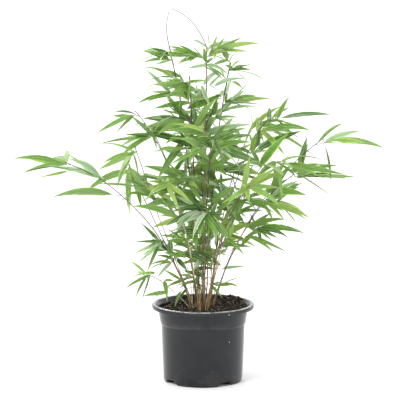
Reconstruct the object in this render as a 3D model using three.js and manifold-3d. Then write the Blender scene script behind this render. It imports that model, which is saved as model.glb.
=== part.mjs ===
// A clump-forming bamboo in a plastic nursery pot: the pot, its potting soil, the thin arching
// culms that fan out of one root, and the sprays of leaves that the culms carry.
// Millimetres, +Z up, +X to the right and +Y away from the front. The origin is the centre of
// the pot's flat underside.
import * as THREE from "three";
import { mergeVertices } from "three/addons/utils/BufferGeometryUtils.js";
import Module from "manifold-3d";

const wasm = await Module();
wasm.setup();

// ---- Driving dimensions -----------------------------------------------------------------

const GAP = 0.35; // clearance between pieces that touch

const POT_HEIGHT = 130;
const POT_RIM_RADIUS = 85;
const POT_NECK_RADIUS = 75; // just under the rim
const POT_STEP_RADIUS = 71; // the collar's lower edge
const POT_STEP_HEIGHT = 99;
const POT_FOOT_RADIUS = 65.3;
const POT_SKIN = 1.6;
const POT_SEGMENTS = 36;
const RIM_DEPTH = 5; // height of the turned lip
const RIM_WIDTH = 6; // flat top of the lip

const NOTCH_COUNT = 4; // drainage notches round the foot
const NOTCH_TURN = 55; // degrees from +X to the first of them, measured towards the front
const NOTCH_WIDTH = 26;
const NOTCH_HEIGHT = 7;
const NOTCH_DEPTH = 14;

const SOIL_LEVEL = 119;
const SOIL_HEAP = 15; // the crumbly heap behind, on the right, above that level
const SOIL_HEAP_PLACE = [46, 42];
const SOIL_HEAP_SPREAD = 21;
const SOIL_SEGMENTS = 28;
const CLUMP_RADIUS = 36; // the soil is level under the culms

const CULM_SIDES = 6;
const CULM_RINGS = 8;
const CULM_TIP_RADIUS = 0.6;

const SPRAY_SIDES = 6;
const SPRAY_RINGS = 8;
const SPRAY_OVERLAP = 14; // how far a culm's tip runs into the spray at its end
const SPRAY_LOBE = 0.34; // how much the leaf tips stand out from the spray's outline
const SPRAY_SWEEP = 0.05; // how far they point forward, as a share of the spray's length
const SPRAY_FLATNESS = 0.42; // thickness as a share of width
const SPRAY_LEAST_THICKNESS = 7;
const SPRAY_SIDE_DROOP = 0.28; // how far the side leaves hang, as a share of the half width

const POT_COLOUR = 0x3f3f41;
const SOIL_COLOUR = 0x3a322b;
const CULM_COLOUR = 0x8a7356;
const TWIG_COLOUR = 0x8c7f86;
const LEAF_COLOURS = [0x5f9440, 0x4c8236, 0x7aab4f, 0x6b9e48];

// One row for each culm: where it leaves the soil, where it ends, and how it bends. lean and
// rise are the shares of the way across and up at which its curve is pulled towards the tip, so
// a small lean with a large rise is an arch. Each spray is [share of the culm's length, heading,
// lift, length, width, fall]: heading in degrees from +X towards +Y, lift in degrees above the
// level where it starts, and fall the degrees by which its end points lower.
const CULMS = [
  { name: "centre_tall", foot: [2, 4], tip: [6, 0, 556], lean: 0.5, rise: 0.5, radius: 1.4,
    sprays: [[1, -6, 34, 96, 60, 44], [0.95, 178, 26, 98, 64, 42], [0.62, -62, 14, 128, 112, 50]] },
  { name: "left_top", foot: [-10, 8], tip: [-56, 14, 558], lean: 0.25, rise: 0.7, radius: 1.2,
    sprays: [[1, 186, 18, 84, 50, 80]] },
  { name: "left_centre", foot: [-7, -6], tip: [-22, -26, 512], lean: 0.4, rise: 0.5, radius: 1.35,
    sprays: [[1, 205, 24, 86, 70, 50], [0.8, 160, 24, 90, 74, 44], [0.55, 218, 14, 124, 104, 54]] },
  { name: "right_top", foot: [7, 13], tip: [46, 34, 528], lean: 0.2, rise: 0.7, radius: 1.15,
    sprays: [[1, 2, 4, 68, 44, 44], [0.82, 14, 26, 96, 62, 44], [0.55, 44, 14, 124, 106, 50]] },
  { name: "left_upper", foot: [-15, 2], tip: [-112, 10, 450], lean: 0.18, rise: 0.75, radius: 1.15,
    sprays: [[1, 180, 16, 104, 52, 84], [0.84, 196, 12, 96, 66, 32]] },
  { name: "left_mid", foot: [-19, -7], tip: [-112, -30, 398], lean: 0.58, rise: 0.56, radius: 1.1,
    sprays: [[1, 186, 6, 62, 44, 44], [0.72, 186, 28, 92, 70, 40]] },
  { name: "left_low_mid", foot: [-22, 11], tip: [-134, 34, 378], lean: 0.48, rise: 0.54, radius: 1,
    sprays: [[0.74, 170, 12, 98, 58, 32]] },
  { name: "far_left", foot: [-24, 3], tip: [-227, 0, 366], lean: 0.25, rise: 0.76, radius: 1.2,
    sprays: [[1, 180, 12, 100, 66, 16], [0.66, 184, 12, 122, 28, 26]] },
  { name: "low_left", foot: [-27, -16], tip: [-91, -26, 182], lean: 0.5, rise: 0.85, radius: 0.8,
    sprays: [[1, 188, 16, 78, 50, 88]] },
  { name: "lower_left", foot: [-27, -4], tip: [-66, -12, 240], lean: 0.3, rise: 0.6, radius: 1.3,
    sprays: [[1, 182, 14, 62, 44, 62], [0.66, 236, 2, 58, 46, 56]] },
  { name: "right_low", foot: [20, -9], tip: [150, -22, 350], lean: 0.28, rise: 0.7, radius: 1.5,
    sprays: [[1, 0, 16, 116, 44, 30], [0.7, -14, 24, 112, 80, 84], [0.52, -8, 26, 112, 74, 58]] },
  { name: "far_right", foot: [22, 0], tip: [194, 4, 402], lean: 0.26, rise: 0.66, radius: 1.25,
    sprays: [[1, -2, 18, 126, 44, 44]] },
  { name: "right_mid", foot: [12, -12], tip: [112, -58, 386], lean: 0.25, rise: 0.7, radius: 1.25,
    sprays: [[1, 2, -4, 132, 50, 14], [0.66, -34, 18, 108, 90, 60]] },
  { name: "right_upper", foot: [15, 6], tip: [110, 26, 438], lean: 0.2, rise: 0.7, radius: 1.3,
    sprays: [[1, -2, 26, 116, 54, 38], [0.76, 10, 38, 104, 66, 28]] },
  { name: "front", foot: [1, -18], tip: [16, -124, 430], lean: 0.2, rise: 0.72, radius: 1.25,
    sprays: [[1, -78, 14, 108, 80, 76], [0.52, -98, 14, 122, 106, 66]] },
  { name: "front_left", foot: [-10, -19], tip: [-62, -122, 356], lean: 0.25, rise: 0.7, radius: 1.15,
    sprays: [[1, -118, 14, 100, 66, 64]] },
  { name: "front_right", foot: [10, -20], tip: [74, -128, 348], lean: 0.25, rise: 0.7, radius: 1.2,
    sprays: [[1, -52, 16, 100, 68, 62]] },
  { name: "back", foot: [4, 22], tip: [2, 128, 446], lean: 0.2, rise: 0.72, radius: 1.25,
    sprays: [[1, 92, 14, 108, 78, 66], [0.52, 86, 16, 124, 106, 56]] },
  { name: "back_left", foot: [-13, 20], tip: [-84, 118, 400], lean: 0.24, rise: 0.7, radius: 1.15,
    sprays: [[1, 128, 14, 104, 68, 60]] },
  { name: "back_right", foot: [13, 20], tip: [88, 120, 416], lean: 0.24, rise: 0.7, radius: 1.2,
    sprays: [[1, 50, 14, 104, 70, 60]] },
];

// The bare twigs that arch over the top: the tips of the two tallest culms run on and meet in a
// sharp kink.
const ARCH_TOP = [-53, 10, 619];
const ARCH_SHOULDER = [-14, 2, 608]; // what the rising side bends towards
const ARCH_FLANK = [-64, 14, 588]; // and the hanging side
const ARCH_RADIUS = 0.45;

// ---- Solids -----------------------------------------------------------------------------

const degrees = THREE.MathUtils.degToRad;

// A closed geometry as a manifold solid, without the seams and the empty triangles at poles.
function solidOf(geometry) {
  const bare = geometry.clone();
  bare.deleteAttribute("normal");
  bare.deleteAttribute("uv");
  const merged = mergeVertices(bare, 1e-3);
  const index = merged.index.array;
  const triangles = [];
  for (let i = 0; i < index.length; i += 3) {
    const [a, b, c] = [index[i], index[i + 1], index[i + 2]];
    if (a !== b && b !== c && c !== a) triangles.push(a, b, c);
  }
  const vertProperties = new Float32Array(merged.attributes.position.array);
  const solid = new wasm.Manifold(
    new wasm.Mesh({ numProp: 3, vertProperties, triVerts: new Uint32Array(triangles) }));
  if (solid.volume() > 0) return solid;
  const turned = new Uint32Array(triangles);
  for (let i = 0; i < turned.length; i += 3) turned.subarray(i, i + 3).reverse();
  return new wasm.Manifold(new wasm.Mesh({ numProp: 3, vertProperties, triVerts: turned }));
}

function geometryOf(solid) {
  const { vertProperties, triVerts } = solid.getMesh();
  const geometry = new THREE.BufferGeometry();
  geometry.setAttribute("position", new THREE.BufferAttribute(vertProperties, 3));
  geometry.setIndex(new THREE.BufferAttribute(triVerts, 1));
  return geometry;
}

function largestBody(solid) {
  return solid.decompose().sort((a, b) => b.volume() - a.volume())[0];
}

// A repeatable random number from 0 to 1 for each whole number and turn.
function chance(seed, turn) {
  const mixed = Math.sin(seed * 127.1 + turn * 311.7) * 43758.5453;
  return mixed - Math.floor(mixed);
}

// Moves every vertex of a geometry made round the Y axis. place(share, x, z) gives its new place,
// where share runs from 0 at the lower end to 1 at the upper one.
function bent(geometry, height, place) {
  const position = geometry.attributes.position;
  for (let i = 0; i < position.count; i += 1) {
    const share = position.getY(i) / height + 0.5;
    position.setXYZ(i, ...place(share, position.getX(i), position.getZ(i)));
  }
  return geometry;
}

function turned(profile, segments) {
  const points = profile.map(([radius, z]) => new THREE.Vector2(radius, z));
  return new THREE.LatheGeometry(points, segments).rotateX(Math.PI / 2);
}

// ---- Pot --------------------------------------------------------------------------------

// A thin moulded shell: flat underside, tapering wall, a wider collar and a turned-over rim.
function potSolid() {
  const inside = POT_NECK_RADIUS - POT_SKIN;
  const lipFoot = POT_HEIGHT - RIM_DEPTH;
  const shell = solidOf(turned([
    [0, 0],
    [POT_FOOT_RADIUS - 5, 0],
    [POT_FOOT_RADIUS - 1.5, 1.5],
    [POT_FOOT_RADIUS, 5],
    [POT_STEP_RADIUS - 1.5, POT_STEP_HEIGHT - 2],
    [POT_STEP_RADIUS, POT_STEP_HEIGHT],
    [POT_NECK_RADIUS, lipFoot - 2],
    [POT_NECK_RADIUS + 1.5, lipFoot],
    [POT_RIM_RADIUS, lipFoot],
    [POT_RIM_RADIUS, POT_HEIGHT - 1.5],
    [POT_RIM_RADIUS - 1.5, POT_HEIGHT],
    [POT_RIM_RADIUS - RIM_WIDTH, POT_HEIGHT],
    [inside + 1.5, POT_HEIGHT - 4],
    [inside, lipFoot - 3],
    [POT_STEP_RADIUS - 1.5 - POT_SKIN, POT_STEP_HEIGHT - 3],
    [POT_FOOT_RADIUS - POT_SKIN, 8],
    [POT_FOOT_RADIUS - NOTCH_DEPTH, 8],
    [POT_FOOT_RADIUS - NOTCH_DEPTH - 3, 2],
    [0, 2],
  ], POT_SEGMENTS));
  return largestBody(shell.subtract(notches()));
}

// The arched drainage notches that open through the foot of the wall. Each is a low half
// ellipse that runs in under the raised edge of the floor.
function notches() {
  const bar = new THREE.CylinderGeometry(1, 1, NOTCH_DEPTH, 16)
    .scale(NOTCH_WIDTH / 2, 1, NOTCH_HEIGHT - 1)
    .translate(0, -(POT_FOOT_RADIUS - NOTCH_DEPTH / 2 + 2), 0);
  const bars = [];
  for (let i = 0; i < NOTCH_COUNT; i += 1) {
    const turn = 90 - NOTCH_TURN + (i * 360) / NOTCH_COUNT;
    bars.push(solidOf(bar.clone().rotateZ(degrees(turn))));
  }
  return wasm.Manifold.union(bars);
}

// ---- Soil -------------------------------------------------------------------------------

function soilHeight(x, y) {
  const [heapX, heapY] = SOIL_HEAP_PLACE;
  const away = Math.hypot(x - heapX, y - heapY) / SOIL_HEAP_SPREAD;
  const heap = SOIL_HEAP * Math.exp(-away * away);
  const slope = 0.025 * x;
  const rough = 1.3 * Math.sin(x * 0.21 + 1) * Math.cos(y * 0.17 - x * 0.05);
  const clear = THREE.MathUtils.smoothstep(Math.hypot(x, y), CLUMP_RADIUS, CLUMP_RADIUS + 12);
  return SOIL_LEVEL + clear * (heap + slope + rough);
}

function soilSolid() {
  const wall = POT_NECK_RADIUS - POT_SKIN - 3;
  const rings = [1, 0.84, 0.66, 0.48, 0];
  const geometry = turned([
    [0, 2 + GAP],
    [POT_FOOT_RADIUS - NOTCH_DEPTH - 3 - GAP, 2 + GAP],
    [POT_FOOT_RADIUS - NOTCH_DEPTH - GAP, 8 + GAP + 0.3],
    [POT_FOOT_RADIUS - POT_SKIN - 2, 8 + GAP + 0.3],
    [POT_STEP_RADIUS - 2 - POT_SKIN - GAP, POT_STEP_HEIGHT - 4],
    ...rings.map((share) => [share * wall, POT_HEIGHT]),
  ], SOIL_SEGMENTS);
  const position = geometry.attributes.position;
  for (let i = 0; i < position.count; i += 1) {
    if (position.getZ(i) < POT_HEIGHT - 1) continue;
    position.setZ(i, soilHeight(position.getX(i), position.getY(i)));
  }
  return solidOf(geometry);
}

// ---- Culms ------------------------------------------------------------------------------

function culmCurve({ foot, tip, lean, rise }) {
  const start = new THREE.Vector3(...foot, SOIL_LEVEL + GAP);
  const end = new THREE.Vector3(...tip);
  const pull = start.clone().lerp(end, lean);
  pull.z = THREE.MathUtils.lerp(start.z, end.z, rise);
  return new THREE.QuadraticBezierCurve3(start, pull, end);
}

function culmTip(culm) {
  return new THREE.Vector3(...CULMS.find(({ name }) => name === culm).tip);
}

// A tapering round limb along a curve. Its first ring is level, so that it is cut flat there.
function limb(curve, radii, grow = 0, levelFoot = true) {
  const rod = new THREE.CylinderGeometry(1, 1, 1, CULM_SIDES, CULM_RINGS);
  const { normals, binormals } = curve.computeFrenetFrames(CULM_RINGS);
  return solidOf(bent(rod, 1, (share, x, z) => {
    const ring = Math.round(share * CULM_RINGS);
    const radius = THREE.MathUtils.lerp(radii[0], radii[1], share) + grow;
    const level = levelFoot && ring === 0;
    const across = level ? new THREE.Vector3(1, 0, 0) : normals[ring];
    const along = level ? new THREE.Vector3(0, 1, 0) : binormals[ring];
    return curve.getPointAt(share)
      .addScaledVector(across, x * radius)
      .addScaledVector(along, z * radius);
  }));
}

// ---- Sprays of leaves -------------------------------------------------------------------

function direction(heading, lift) {
  return new THREE.Vector3(
    Math.cos(degrees(heading)) * Math.cos(degrees(lift)),
    Math.sin(degrees(heading)) * Math.cos(degrees(lift)),
    Math.sin(degrees(lift)));
}

// The arching middle line of a spray, from where it leaves its culm to its furthest leaf tip.
function sprayCurve(root, [, heading, lift, length, , fall]) {
  const middle = root.clone().addScaledVector(direction(heading, lift), length / 2);
  const end = middle.clone().addScaledVector(direction(heading, lift - fall), length / 2);
  return new THREE.QuadraticBezierCurve3(root, middle, end);
}

// A spray is an uneven, pointed pad about its middle line. Its sides stand out in lobes, now on
// the left and now on the right, where leaves end, and hang lower than the middle.
function spray(curve, [, heading, , length, width], seed, grow = 0) {
  const ball = new THREE.SphereGeometry(1, SPRAY_SIDES, SPRAY_RINGS);
  const aside = direction(heading + 90, 0);
  const halfWidth = width / 2;
  const halfThick = (SPRAY_LEAST_THICKNESS + SPRAY_FLATNESS * width) / 2;
  return solidOf(bent(ball, 2, (height, x, z) => {
    const share = THREE.MathUtils.clamp(height, 0, 1);
    const radius = Math.hypot(x, z);
    const [across, up] = radius > 1e-6 ? [x / radius, z / radius] : [0, 0];
    const bulk = Math.sin(Math.PI * share ** 0.85) ** 0.8;
    const ring = Math.round((Math.acos(1 - 2 * share) / Math.PI) * SPRAY_RINGS);
    const lobe = sprayLobe(ring, across, seed);
    const reach = halfWidth * bulk * (1 + SPRAY_LOBE * lobe) + grow;
    const thick = halfThick * bulk * (0.75 + 0.5 * chance(seed + 7, ring)) + grow;
    const sweep = SPRAY_SWEEP * length * Math.max(lobe, 0) * bulk;
    const forward = curve.getTangent(share);
    const upward = new THREE.Vector3().crossVectors(forward, aside);
    const place = curve.getPoint(share)
      .addScaledVector(aside, reach * across)
      .addScaledVector(upward, thick * up)
      .addScaledVector(forward, sweep + grow * (2 * share - 1));
    place.z -= SPRAY_SIDE_DROOP * halfWidth * bulk * across * across;
    return place;
  }));
}

// How far a spray's edge stands out (up to 1) or in (down to -0.7) at a ring: every other ring
// out on one side, and the rings between on the other.
function sprayLobe(ring, across, seed) {
  if (Math.abs(across) < 0.5) return 0;
  const onLeft = across > 0 ? 1 : 0;
  const out = (ring + onLeft) % 2 === 0 ? 1 : -0.7;
  return out * Math.abs(across) * (0.6 + 0.4 * chance(seed, ring * 3 + onLeft));
}

// ---- The plant --------------------------------------------------------------------------

const plant = new THREE.Group();

function addNode(name, solid, color, roughness) {
  const material = new THREE.MeshStandardMaterial({ color, roughness, metalness: 0 });
  const mesh = new THREE.Mesh(geometryOf(solid), material);
  mesh.name = name;
  plant.add(mesh);
}

const taken = []; // what later pieces are cut clear of

addNode("pot", potSolid(), POT_COLOUR, 0.45);
addNode("soil", soilSolid(), SOIL_COLOUR, 0.95);

const curves = CULMS.map(culmCurve);
CULMS.forEach(({ name, radius }, i) => {
  addNode(`culm_${name}`, limb(curves[i], [radius, CULM_TIP_RADIUS]), CULM_COLOUR, 0.6);
  taken.push(limb(curves[i], [radius, CULM_TIP_RADIUS], GAP));
});

function archTwig(culm, bend, top) {
  const start = culmTip(culm).add(new THREE.Vector3(0, 0, 2 * GAP));
  return new THREE.QuadraticBezierCurve3(
    start, new THREE.Vector3(...bend), new THREE.Vector3(...ARCH_TOP).add(top));
}

const arches = {
  twig_arch_rise: archTwig("centre_tall", ARCH_SHOULDER, new THREE.Vector3(0, 0, 0)),
  twig_arch_fall: archTwig("left_top", ARCH_FLANK, new THREE.Vector3(-2, 0, -2)),
};
for (const [name, curve] of Object.entries(arches)) {
  const radii = [CULM_TIP_RADIUS, ARCH_RADIUS];
  addNode(name, limb(curve, radii, 0, false), TWIG_COLOUR, 0.6);
  taken.push(limb(curve, radii, GAP, false));
}

CULMS.forEach(({ name, sprays }, i) => {
  sprays.forEach((shape, k) => {
    const [share] = shape;
    const inset = share === 1 ? 1 - SPRAY_OVERLAP / curves[i].getLength() : share;
    const curve = sprayCurve(curves[i].getPointAt(inset), shape);
    const seed = i * 5 + k + 1;
    const whole = spray(curve, shape, seed);
    const clear = largestBody(whole.subtract(wasm.Manifold.union(taken)));
    addNode(`leaves_${name}_${k + 1}`, clear, LEAF_COLOURS[seed % LEAF_COLOURS.length], 0.7);
    taken.push(spray(curve, shape, seed, GAP));
  });
});

export default plant;
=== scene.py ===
import math
import bpy
import numpy as np
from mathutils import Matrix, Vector
from mathutils.bvhtree import BVHTree


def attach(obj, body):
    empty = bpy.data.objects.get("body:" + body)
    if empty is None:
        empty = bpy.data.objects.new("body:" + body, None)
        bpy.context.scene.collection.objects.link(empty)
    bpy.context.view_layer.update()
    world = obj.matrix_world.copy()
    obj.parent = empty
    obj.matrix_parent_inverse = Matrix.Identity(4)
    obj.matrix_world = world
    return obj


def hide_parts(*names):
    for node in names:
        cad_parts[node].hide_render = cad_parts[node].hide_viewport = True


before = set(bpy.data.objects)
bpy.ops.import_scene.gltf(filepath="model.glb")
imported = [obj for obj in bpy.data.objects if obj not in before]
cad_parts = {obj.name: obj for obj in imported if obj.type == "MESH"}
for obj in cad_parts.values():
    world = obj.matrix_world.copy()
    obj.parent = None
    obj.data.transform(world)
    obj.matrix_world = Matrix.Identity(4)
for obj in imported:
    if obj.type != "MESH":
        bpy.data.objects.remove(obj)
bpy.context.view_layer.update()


# ---- Nursery pot --------------------------------------------------------------------------
# One thin shell of black polypropylene, injection moulded: a tapering wall, a wider collar
# that stiffens its top, a turned-over rim to lift it by, and arched drainage notches that
# open through the foot. It stands on its flat underside.

POT_SEGMENTS = 288
# Each corner of the half section: radius, height and rounding, in millimetres, from the
# middle of the underside out, up the wall, over the rim, and down the inside to the floor.
POT_SECTION = np.array([
    [0, 0, 0], [30, 0, 1], [46, 0, 1], [53, 0, 1], [61, 0, 0.8], [64.2, 0.2, 1.2],
    [65.3, 4.5, 1], [65.6, 8, 1], [65.8, 12, 1], [66.7, 30, 1], [68, 60, 1], [69.4, 94, 1],
    [69.5, 96.6, 0.5], [71.1, 98.2, 0.9], [71.5, 101, 0.6], [74.9, 121.5, 1],
    [75.1, 124.2, 0.8], [83.2, 124.4, 0.7], [83.6, 122.9, 0.6], [84.9, 123, 0.6],
    [85, 126, 0.6], [84.6, 129.6, 2.6], [79.4, 130, 1.2], [77, 127, 1], [74.2, 123.4, 1],
    [73.2, 119, 1], [69.6, 101, 0.8], [68, 97, 0.8], [63.8, 8.2, 0.8], [50.2, 8, 0.8],
    [47, 2, 0.8], [20, 2, 1], [0, 2, 0]]) * 0.001
NOTCHES, NOTCH_TURN, NOTCH_WIDTH, NOTCH_LIFT = 4, math.radians(-55), 0.029, 0.0068
NOTCH_SLOPE = (0.046, 0.058)  # the underside rises to the notch between these radii
NOTCH_FADE = 0.013  # height at which the wall no longer follows the notch


def unit(vectors):
    """Each vector divided by its own length."""
    return vectors / np.maximum(np.linalg.norm(vectors, axis=-1, keepdims=True), 1e-12)


def eased(low, high, x):
    """0 below low, 1 above high, and 3s^2 - 2s^3 of the share s of the way between."""
    s = np.clip((x - low) / (high - low), 0, 1)
    return s * s * (3 - 2 * s)


def linear(colour):
    """An sRGB hex colour as linear red, green, blue and an alpha of 1."""
    parts = np.array([int(colour[i:i + 2], 16) for i in (1, 3, 5)]) / 255
    low, high = parts / 12.92, ((parts + 0.055) / 1.055) ** 2.4
    return (*np.where(parts <= 0.04045, low, high).tolist(), 1.0)


def feed(tree, node, inputs):
    """Gives each socket of a node, by name or number, a value, or a link from an output. A
    node stands for its own first output."""
    for socket, value in inputs.items():
        if isinstance(value, bpy.types.Node):
            value = value.outputs[0]
        if isinstance(value, bpy.types.NodeSocket):
            tree.links.new(value, node.inputs[socket])
        else:
            node.inputs[socket].default_value = value


def add(tree, kind, inputs=None, **settings):
    """Adds a node with its settings and what feeds it."""
    made = tree.nodes.new("ShaderNode" + kind)
    for name, value in settings.items():
        setattr(made, name, value)
    feed(tree, made, inputs or {})
    return made


def finish(name, colour, build=None, **sockets):
    """A material of one Principled shader. colour is its hex base colour, sockets are its
    other uniform values, and build(tree) adds the nodes of its pattern and returns what
    they feed."""
    made = bpy.data.materials.new(name)
    made.use_nodes = True
    tree = made.node_tree
    tree.nodes.clear()
    values = {name.replace("_", " "): value for name, value in sockets.items()}
    shader = add(tree, "BsdfPrincipled", {"Base Color": linear(colour), **values})
    tree.links.new(shader.outputs["BSDF"], add(tree, "OutputMaterial").inputs["Surface"])
    made.diffuse_color = linear(colour)
    feed(tree, shader, build(tree) if build else {})
    return made


def wrapped(rings, sides):
    """The faces of a closed skin of rings x sides points, ring by ring, then one point that
    closes its first ring and one that closes its last. Point c of ring j is number
    j * sides + c. Returns quads and triangles, and the (ring, side) of each face corner,
    where side runs on past the seam, so that a pattern isn't squeezed there."""
    j, c = np.meshgrid(np.arange(rings - 1), np.arange(sides), indexing="ij")
    ring = np.stack([j, j, j + 1, j + 1], -1).reshape(-1, 4)
    side = np.stack([c, c + 1, c + 1, c], -1).reshape(-1, 4)
    quads = ring * sides + side % sides
    c = np.arange(sides)
    first, last = np.full(sides, rings * sides), np.full(sides, rings * sides + 1)
    foot = np.stack([(c + 1) % sides, c, first], -1)
    top = (rings - 1) * sides + np.stack([c, (c + 1) % sides, c], -1)
    top[:, 2] = last
    ends = np.concatenate([foot, top])
    end_ring = np.repeat([0, rings - 1], sides)[:, None] * np.ones((1, 3), int)
    end_side = np.concatenate([np.stack([c + 1, c, c + 0.5], -1),
                               np.stack([c, c + 1, c + 0.5], -1)])
    return quads, ends, np.stack([ring, side], -1), np.stack([end_ring, end_side], -1)


def piece(name, points, quads, ends, finishes, pick=None, crease=40, maps=None, values=None):
    """A mesh of the row frame from its points, quads and triangles. pick gives each face the
    number of its finish. maps holds (corner uv of quads, of triangles) by map name, and
    values a number for each point by attribute name. Edges sharper than crease degrees stay
    sharp."""
    mesh = bpy.data.meshes.new(name)
    mesh.from_pydata(points.tolist(), [], quads.tolist() + ends.tolist())
    for made in finishes:
        mesh.materials.append(made)
    if pick is not None:
        mesh.polygons.foreach_set("material_index", np.ascontiguousarray(pick, dtype=np.int32))
    for label, (of_quads, of_ends) in (maps or {}).items():
        corners = np.concatenate([of_quads.reshape(-1, 2), of_ends.reshape(-1, 2)])
        layer = mesh.uv_layers.new(name=label)
        layer.data.foreach_set("uv", corners.astype(np.float32).ravel())
    for label, numbers in (values or {}).items():
        layer = mesh.attributes.new(label, "FLOAT", "POINT")
        layer.data.foreach_set("value", np.asarray(numbers, np.float32).ravel())
    mesh.polygons.foreach_set("use_smooth", np.ones(len(mesh.polygons), bool))
    mesh.set_sharp_from_angle(angle=math.radians(crease))
    mesh.validate()
    made = bpy.data.objects.new(name, mesh)
    bpy.context.scene.collection.objects.link(made)
    return made


def rounded(section, steps=4):
    """A half section whose corners give way to parabolic arcs: each leaves and meets its two
    sides at the rounding's length from the corner."""
    at, rounding = section[:, :2], section[1:-1, 2:3]
    before = at[1:-1] + rounding * unit(at[:-2] - at[1:-1])
    after = at[1:-1] + rounding * unit(at[2:] - at[1:-1])
    t = np.linspace(0, 1, steps + 1)[:, None]
    arcs = (before[:, None] * (1 - t) ** 2 + at[1:-1, None] * 2 * t * (1 - t)
            + after[:, None] * t ** 2)
    return np.concatenate([at[:1], arcs.reshape(-1, 2), at[-1:]])


def turned(section, segments):
    """The points of a half section turned about Z: at angle a, radius r and height z give
    (r cos a, r sin a, z). The section's two ends lie on the axis and close the skin."""
    a = np.linspace(0, 2 * np.pi, segments, endpoint=False)[None, :]
    r, z = section[1:-1, :1], section[1:-1, 1:]
    rings = np.stack([r * np.cos(a), r * np.sin(a), z + 0 * a], -1).reshape(-1, 3)
    poles = [[0, 0, section[0, 1]], [0, 0, section[-1, 1]]]
    return np.concatenate([rings, poles])


def notched(points):
    """Lifts the foot into arched notches. Across a notch the lift is the height of a flat
    arch, (1 - s^4) of NOTCH_LIFT at share s of its half width; it grows from nothing on the
    underside to all of it at the wall, and fades out up the wall."""
    x, y, z = points.T
    step = 2 * np.pi / NOTCHES
    off = (np.arctan2(y, x) - NOTCH_TURN + step / 2) % step - step / 2
    radius = np.hypot(x, y)
    s = np.clip(np.abs(off) * radius / (NOTCH_WIDTH / 2), 0, 1)
    share = eased(*NOTCH_SLOPE, radius) * np.clip(1 - z / NOTCH_FADE, 0, 1)
    outside = np.arange(len(points)) < OUTSIDE_RINGS * POT_SEGMENTS
    lift = np.where(outside, NOTCH_LIFT * (1 - s ** 4) * share, 0)
    return np.stack([x, y, z + lift], -1)


def moulded_plastic(tree):
    """Satin polypropylene: a fine spark-eroded grain, soft flow waves, a film of dried soil
    dust on the rim and ledges, short rub marks along the wall, a few pale specks, and a
    painted highlight: uneven whitish patches along the rim's top edge."""
    place = add(tree, "TexCoord").outputs["Object"]
    dust = add(tree, "TexNoise", {"Vector": place, "Scale": 38.0, "Detail": 5.0, "Roughness": 0.6})
    height = add(tree, "SeparateXYZ", {"Vector": place}).outputs["Z"]
    on_rim = add(tree, "MapRange", {0: height, 1: 0.1235, 2: 0.1302, 4: 0.5})
    ledge = add(tree, "MapRange", {0: height, 1: 0.0965, 2: 0.0995})
    under_ledge = add(tree, "MapRange", {0: height, 1: 0.108, 2: 0.0995})
    foot = add(tree, "MapRange", {0: height, 1: 0.028, 2: 0.0})
    on_ledge = add(tree, "Math", {0: ledge, 1: under_ledge}, operation="MULTIPLY")
    low = add(tree, "Math", {0: foot, 1: on_ledge}, operation="MAXIMUM")
    most = add(tree, "Math", {0: on_rim, 1: low}, operation="MAXIMUM")
    patchy = add(tree, "MapRange", {0: dust, 1: 0.42, 2: 0.7})
    film = add(tree, "MapRange", {0: most, 3: 0.04, 4: 0.3})
    film = add(tree, "Math", {0: film, 1: patchy}, operation="MULTIPLY")
    lengthwise = add(tree, "Mapping", {"Vector": place, "Scale": (1.0, 1.0, 5.5)})
    rubs = add(tree, "TexNoise", {"Vector": lengthwise, "Scale": 62.0, "Detail": 3.0})
    rubbed = add(tree, "MapRange", {0: rubs, 1: 0.69, 2: 0.77})
    rubbed = add(tree, "Math", {0: rubbed, 1: 0.25}, operation="MULTIPLY")
    spots = add(tree, "TexVoronoi", {"Vector": place, "Scale": 62.0})
    speck = add(tree, "MapRange", {0: spots.outputs["Distance"], 1: 0.06, 2: 0.04})
    chosen = add(tree, "SeparateColor", {"Color": spots.outputs["Color"]}).outputs["Red"]
    chosen = add(tree, "Math", {0: chosen, 1: 0.62}, operation="GREATER_THAN")
    speck = add(tree, "Math", {0: speck, 1: chosen}, operation="MULTIPLY")
    marks = add(tree, "Math", {0: film, 1: rubbed}, operation="MAXIMUM")
    dusty = add(tree, "Mix", {0: marks, 6: linear(POT_BLACK), 7: linear(POT_DUST)},
                data_type="RGBA").outputs[2]
    specked = add(tree, "Mix", {0: speck, 6: dusty, 7: linear(POT_SPECK)},
                  data_type="RGBA").outputs[2]
    # Painted highlight: uneven near-white patches along the rim's top edge stand in for the light that
    # the rim reflects.
    edge = add(tree, "MapRange", {0: height, 1: 0.1284, 2: 0.1298})
    uneven = add(tree, "TexNoise", {"Vector": place, "Scale": 130.0, "Detail": 4.0})
    uneven = add(tree, "MapRange", {0: uneven, 1: 0.36, 2: 0.62, 3: 0.15, 4: 0.95})
    painted_highlight = add(tree, "Math", {0: edge, 1: uneven}, operation="MULTIPLY")
    highlighted = add(tree, "Mix", {0: painted_highlight, 6: specked, 7: linear(POT_HIGHLIGHT_WHITE)},
               data_type="RGBA").outputs[2]
    rough = add(tree, "MapRange", {0: marks, 3: 0.15, 4: 0.6})
    waves = add(tree, "TexNoise", {"Vector": place, "Scale": 26.0, "Detail": 1.0})
    grain = add(tree, "TexNoise", {"Vector": place, "Scale": 900.0, "Detail": 2.0})
    soft = add(tree, "Bump", {"Height": waves, "Strength": 0.07, "Distance": 0.002})
    fine = add(tree, "Bump", {"Height": grain, "Normal": soft, "Strength": 0.04,
                              "Distance": 0.0003})
    return {"Base Color": highlighted, "Roughness": rough, "Normal": fine}


# Carbon-black polypropylene from a lightly textured mould: a grey-black body with a soft
# sheen, index of refraction 1.49, that dulls where soil dust dries on it.
# The last of these colours is a painted highlight, the near-white laid on the rim's top edge.
POT_BLACK, POT_DUST, POT_SPECK, POT_HIGHLIGHT_WHITE = "#0f1116", "#62615e", "#c9c7c0", "#c4c5c8"
pot_plastic = finish("moulded_black_polypropylene", POT_BLACK, moulded_plastic,
                     IOR=1.49, Roughness=0.2, Specular_IOR_Level=0.42)

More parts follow.
